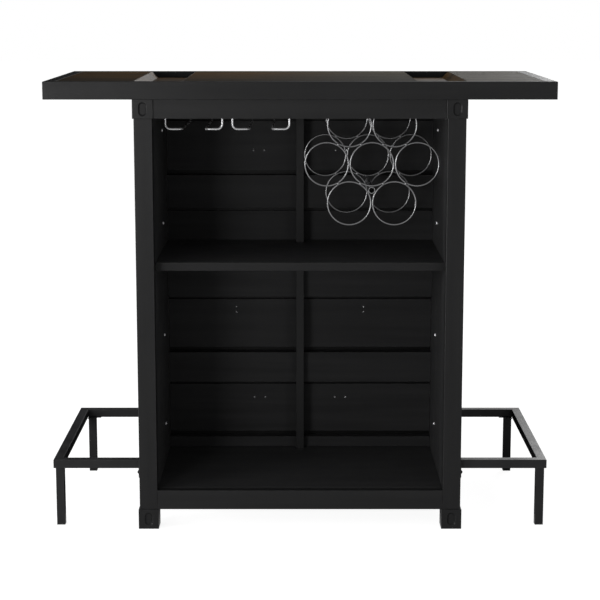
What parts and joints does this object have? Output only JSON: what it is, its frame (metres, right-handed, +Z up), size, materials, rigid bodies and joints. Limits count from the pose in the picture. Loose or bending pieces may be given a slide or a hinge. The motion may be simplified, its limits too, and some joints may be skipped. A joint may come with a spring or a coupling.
{
  "type": "bar table",
  "caption": "Free-standing home bar: wide wood top with troughs and wing ends, open serving side with shelf, hanging bottle and stemware racks, tube footrests.",
  "frame": {"origin": "on the floor under the middle of the bar", "axes": "+X along the bar, to the right as seen from the open serving side; +Y from the serving side towards the guests; +Z up"},
  "size_m": [1.184, 0.573, 1.067],
  "materials": {
    "black_wood": "satin black paint on wood",
    "brown_wood": "dark brown wood grain, satin lacquer",
    "black_metal": "semi-gloss black powder coat",
    "black_cover": "satin black cover plate",
    "chrome": "bright chrome plate",
    "black_plastic": "matte black plastic"
  },
  "bodies": {
    "root": {"bottle_rack_clips": "chrome", "bottle_rack_front_rings": "chrome", "bottle_rack_hangers": "chrome", "bottle_rack_rear_rings": "chrome", "bottle_rack_spacer": "chrome", "bottom_deck": "black_wood", "bottom_rail_far": "black_wood", "bottom_rail_near": "black_wood", "bottom_rails_ends": "black_wood", "centre_battens": "black_wood", "corner_covers": "black_cover", "deck_cleats": "black_wood", "footrest_bolts": "black_metal", "footrest_far_bar_left": "black_metal", "footrest_far_bar_right": "black_metal", "footrest_legs_left": "black_metal", "footrest_legs_right": "black_metal", "footrest_near_bar_left": "black_metal", "footrest_near_bar_right": "black_metal", "footrest_outer_bar_left": "black_metal", "footrest_outer_bar_right": "black_metal", "footrest_plates": "black_metal", "footrest_plugs": "black_plastic", "guest_boards_narrow": "black_wood", "guest_boards_wide": "black_wood", "guest_stiles": "black_wood", "middle_shelf": "black_wood", "post_caps": "black_wood", "post_far_left": "black_wood", "post_far_right": "black_wood", "post_feet": "black_wood", "post_glides": "black_plastic", "post_near_left": "black_wood", "post_near_right": "black_wood", "rack_plates": "chrome", "rack_screws": "chrome", "server_boards_narrow": "black_wood", "server_boards_wide": "black_wood", "shelf_pins": "chrome", "side_panel_left": "black_wood", "side_panel_right": "black_wood", "side_panel_screws": "chrome", "side_stiles": "black_wood", "stemware_first_wires": "chrome", "stemware_second_wires": "chrome", "top_band_far": "black_wood", "top_band_left": "black_wood", "top_band_near": "black_wood", "top_band_right": "black_wood", "top_centre_board": "brown_wood", "top_cleats": "black_wood", "top_trough_left": "brown_wood", "top_trough_right": "brown_wood", "top_wing_board_left": "brown_wood", "top_wing_board_right": "brown_wood", "upper_rail_far": "black_wood", "upper_rail_near": "black_wood", "upper_rails_ends": "black_wood", "wall_panel": "black_wood", "wall_screws": "chrome"}
  },
  "joints": []
}
